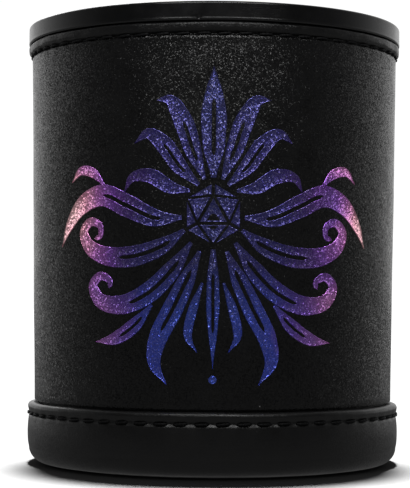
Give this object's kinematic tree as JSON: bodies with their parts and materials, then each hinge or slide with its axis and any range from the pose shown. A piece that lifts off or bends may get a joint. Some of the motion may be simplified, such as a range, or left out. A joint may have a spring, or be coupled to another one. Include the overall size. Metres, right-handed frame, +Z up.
{
  "type": "dice cup",
  "caption": "Upright leather-covered dice cup with a moulded rim ring, stitched hems, a velvet-lined rolling chamber and a pull-off base cap over a small dice compartment.",
  "frame": {"origin": "centre of the underside, on the table", "axes": "+Z up along the cup's axis to the mouth, -Y to the printed front, +Y to the leather seams"},
  "size_m": [0.086, 0.086, 0.1],
  "materials": {
    "rim_plastic": "satin black moulding",
    "shell_plastic": "fine matt black moulding",
    "body_leather": "fine pebbled grain, semi-gloss, with a foil print on the front",
    "cap_leather": "fine pebbled grain, semi-gloss",
    "base_leather": "fine grain, matt",
    "thread": "waxed polyester thread, black",
    "velvet": "short black velvet pile",
    "felt": "pressed black felt",
    "foam": "closed-cell foam",
    "board": "grey board"
  },
  "bodies": {
    "base_cap": {"cap_shell": "shell_plastic", "cap_wrap": "cap_leather", "cap_stitching": "thread", "cap_seam_stitching": "thread", "cap_floor_lining": "felt", "base_disc": "base_leather"},
    "cup": {"rim_ring": "rim_plastic", "body_shell": "shell_plastic", "body_wrap": "body_leather", "top_stitching": "thread", "seam_stitching": "thread", "lining_wall": "velvet", "floor_lining": "velvet", "floor_pad": "foam", "partition_disc": "board", "compartment_lining": "felt"}
  },
  "joints": [
    {"name": "cup_lift", "type": "slide", "parent": "base_cap", "child": "cup", "axis": [0, 0, 1], "range_m": [0, 0.04]}
  ]
}
